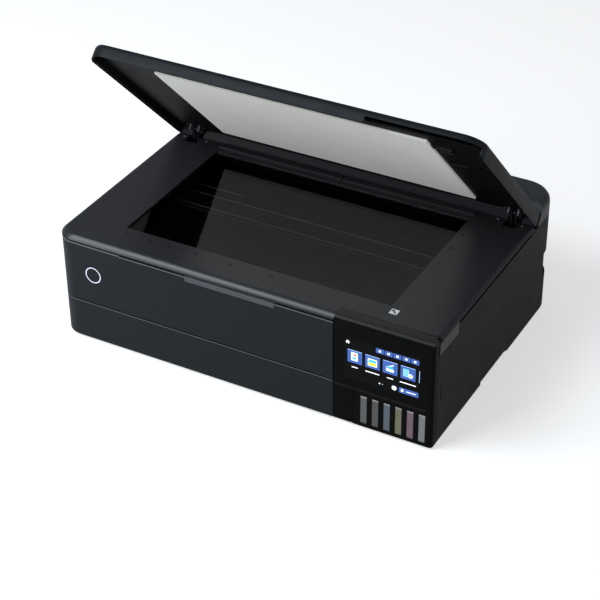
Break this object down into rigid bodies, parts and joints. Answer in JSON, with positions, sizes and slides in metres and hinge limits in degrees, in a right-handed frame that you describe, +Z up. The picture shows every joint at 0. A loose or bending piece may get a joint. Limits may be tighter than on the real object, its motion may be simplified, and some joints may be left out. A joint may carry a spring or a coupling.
{
  "type": "inkjet printer",
  "caption": "Charcoal flatbed all-in-one ink tank printer with its document lid open, tilting touch panel, ink level windows, trays and a working paper path",
  "frame": {"origin": "Centre of the footprint on the floor, under the rubber feet", "axes": "+X to the right seen from the front, +Y to the rear, +Z up"},
  "size_m": [0.523, 0.379, 0.3617],
  "materials": {
    "casing": "fine satin grain",
    "black_trim": "satin",
    "dark_inner": "matte",
    "screen": "polished",
    "ink_window": "polished",
    "scan_glass": "polished",
    "mat_white": "matte foam",
    "steel_sheet": "zinc plated",
    "bright_rod": "ground",
    "brass_part": "turned",
    "rubber_black": "matte",
    "roller_rubber": "matte",
    "circuit": "solder mask",
    "metal_case": "satin",
    "port_metal": "plated",
    "socket_plastic": "matte"
  },
  "bodies": {
    "base": {"base_pan": "dark_inner", "rubber_feet": "rubber_black", "left_cover": "casing", "right_cover": "casing", "rear_panel": "casing", "front_fascia": "casing", "rear_housing": "casing", "feed_bed": "dark_inner", "print_frame": "steel_sheet", "carriage_rod": "bright_rod", "platen": "dark_inner", "main_board": "circuit", "power_supply": "metal_case", "mains_inlet": "socket_plastic", "data_ports": "port_metal", "feed_motor": "metal_case", "carriage_motor": "metal_case", "carriage_belt": "rubber_black", "ink_tanks": "dark_inner", "tank_caps": "dark_inner", "tank_bezel": "black_trim", "tank_windows": "ink_window", "card_reader": "dark_inner", "hinge_blocks": "casing", "inner_deck": "dark_inner", "casing_screws": "bright_rod"},
    "button": {"power_button": "casing"},
    "cover": {"front_cover": "casing"},
    "lower_tray": {"lower_cassette": "dark_inner"},
    "upper_tray": {"upper_cassette": "dark_inner"},
    "out_tray": {"output_tray": "dark_inner"},
    "out_extension": {"output_tray_extension": "dark_inner"},
    "card_door": {"card_cover": "black_trim"},
    "tank_lid": {"tank_cover": "black_trim"},
    "panel": {"panel_housing": "black_trim", "panel_back": "black_trim", "display": "screen"},
    "feed_flap": {"feed_cover": "casing"},
    "support": {"paper_support": "dark_inner"},
    "support_end": {"support_extension": "dark_inner"},
    "guide_left": {"left_edge_guide": "dark_inner"},
    "guide_right": {"right_edge_guide": "dark_inner"},
    "back_cover": {"rear_cover": "casing"},
    "waste_box": {"maintenance_box": "dark_inner"},
    "feed_shaft": {"feed_roller": "roller_rubber"},
    "exit_shaft": {"exit_roller": "roller_rubber"},
    "pickup_shaft": {"pickup_roller": "roller_rubber"},
    "pinion": {"motor_pinion": "brass_part"},
    "carriage": {"print_carriage": "dark_inner", "print_head": "metal_case"},
    "belt_drive": {"drive_pulley": "brass_part"},
    "belt_idler": {"idler_pulley": "metal_case"},
    "scanner": {"scanner_case": "dark_inner", "scanner_frame": "casing", "scan_glass": "scan_glass", "scan_rod": "bright_rod"},
    "scan_sled": {"scan_head": "dark_inner"},
    "lid": {"lid_shell": "casing", "lid_inner": "casing", "document_mat": "mat_white"}
  },
  "joints": [
    {"name": "power_press", "type": "slide", "parent": "base", "child": "button", "axis": [0, 1, 0], "range_m": [0, 0.001], "stiffness_N_per_m": 400, "springref_m": -0.002},
    {"name": "front_cover_hinge", "type": "hinge", "parent": "base", "child": "cover", "pos_m": [-0.035, -0.183, 0.0085], "axis": [1, 0, 0], "range_deg": [0, 90]},
    {"name": "lower_tray_slide", "type": "slide", "parent": "base", "child": "lower_tray", "axis": [0, -1, 0], "range_m": [0, 0.0314]},
    {"name": "upper_tray_slide", "type": "slide", "parent": "base", "child": "upper_tray", "axis": [0, -1, 0], "range_m": [0, 0.0597]},
    {"name": "out_tray_slide", "type": "slide", "parent": "base", "child": "out_tray", "axis": [0, -1, 0], "range_m": [0, 0.0628]},
    {"name": "out_extension_slide", "type": "slide", "parent": "out_tray", "child": "out_extension", "axis": [0, -1, 0], "range_m": [0, 0.0471]},
    {"name": "card_door_hinge", "type": "hinge", "parent": "base", "child": "card_door", "pos_m": [0.1445, -0.1849, 0.007], "axis": [1, 0, 0], "range_deg": [0, 75]},
    {"name": "panel_tilt", "type": "hinge", "parent": "base", "child": "panel", "pos_m": [0.196, -0.1815, 0.1435], "axis": [-1, 0, 0], "range_deg": [0, 45]},
    {"name": "scanner_lift", "type": "hinge", "parent": "base", "child": "scanner", "pos_m": [0, 0.14, 0.153], "axis": [-1, 0, 0], "range_deg": [0, 25]},
    {"name": "tank_lid_hinge", "type": "hinge", "parent": "base", "child": "tank_lid", "pos_m": [0.208, -0.0871, 0.1125], "axis": [-1, 0, 0], "range_deg": [0, 75]},
    {"name": "lid_hinge", "type": "hinge", "parent": "scanner", "child": "lid", "pos_m": [0, 0.106, 0.1437], "axis": [-1, 0, 0], "range_deg": [-45.5, 6]},
    {"name": "scan_travel", "type": "slide", "parent": "scanner", "child": "scan_sled", "axis": [-1, 0, 0], "range_m": [0, 0.41]},
    {"name": "feed_flap_hinge", "type": "hinge", "parent": "base", "child": "feed_flap", "pos_m": [0, 0.1705, 0.1664], "axis": [-1, 0, 0], "range_deg": [0, 105]},
    {"name": "support_slide", "type": "slide", "parent": "base", "child": "support", "axis": [0, 0.342, 0.9397], "range_m": [0, 0.0257]},
    {"name": "support_end_slide", "type": "slide", "parent": "support", "child": "support_end", "axis": [0, 0.342, 0.9397], "range_m": [0, 0.0238]},
    {"name": "guide_left_slide", "type": "slide", "parent": "base", "child": "guide_left", "axis": [1, 0, 0], "range_m": [0, 0.09]},
    {"name": "guide_right_slide", "type": "slide", "parent": "base", "child": "guide_right", "axis": [-1, 0, 0], "range_m": [0, 0.09]},
    {"name": "back_cover_slide", "type": "slide", "parent": "base", "child": "back_cover", "axis": [0, 1, 0], "range_m": [0, 0.04]},
    {"name": "waste_box_slide", "type": "slide", "parent": "base", "child": "waste_box", "axis": [0, 1, 0], "range_m": [0, 0.12]},
    {"name": "feed_spin", "type": "hinge", "parent": "base", "child": "feed_shaft", "pos_m": [0, 0.036, 0.068], "axis": [1, 0, 0], "continuous": true},
    {"name": "exit_spin", "type": "hinge", "parent": "base", "child": "exit_shaft", "pos_m": [0, -0.058, 0.066], "axis": [1, 0, 0], "continuous": true},
    {"name": "pickup_spin", "type": "hinge", "parent": "base", "child": "pickup_shaft", "pos_m": [0, 0.06146, 0.04254], "axis": [1, 0, 0], "continuous": true},
    {"name": "pinion_spin", "type": "hinge", "parent": "base", "child": "pinion", "pos_m": [-0.216, 0.021, 0.09398], "axis": [1, 0, 0], "continuous": true},
    {"name": "carriage_travel", "type": "slide", "parent": "base", "child": "carriage", "axis": [-1, 0, 0], "range_m": [0, 0.245]},
    {"name": "belt_drive_spin", "type": "hinge", "parent": "base", "child": "belt_drive", "pos_m": [-0.1955, 0.043, 0.102], "axis": [0, 1, 0], "continuous": true},
    {"name": "belt_idler_spin", "type": "hinge", "parent": "base", "child": "belt_idler", "pos_m": [0.135, 0.043, 0.102], "axis": [0, 1, 0], "continuous": true}
  ],
  "couplings": [
    {"joint": "lower_tray_slide", "follows": "front_cover_hinge", "m_per_rad": 0.02},
    {"joint": "upper_tray_slide", "follows": "front_cover_hinge", "m_per_rad": 0.038},
    {"joint": "out_tray_slide", "follows": "front_cover_hinge", "m_per_rad": 0.04},
    {"joint": "out_extension_slide", "follows": "front_cover_hinge", "m_per_rad": 0.03},
    {"joint": "tank_lid_hinge", "follows": "scanner_lift", "ratio": 3},
    {"joint": "feed_flap_hinge", "follows": "support_slide", "rad_per_m": 71.3},
    {"joint": "support_end_slide", "follows": "support_slide", "ratio": 0.926},
    {"joint": "guide_right_slide", "follows": "guide_left_slide", "ratio": 1},
    {"joint": "exit_spin", "follows": "feed_spin", "ratio": 1},
    {"joint": "pickup_spin", "follows": "feed_spin", "ratio": -2},
    {"joint": "pinion_spin", "follows": "feed_spin", "ratio": -4},
    {"joint": "belt_drive_spin", "follows": "carriage_travel", "rad_per_m": -142.86},
    {"joint": "belt_idler_spin", "follows": "carriage_travel", "rad_per_m": -142.86}
  ]
}
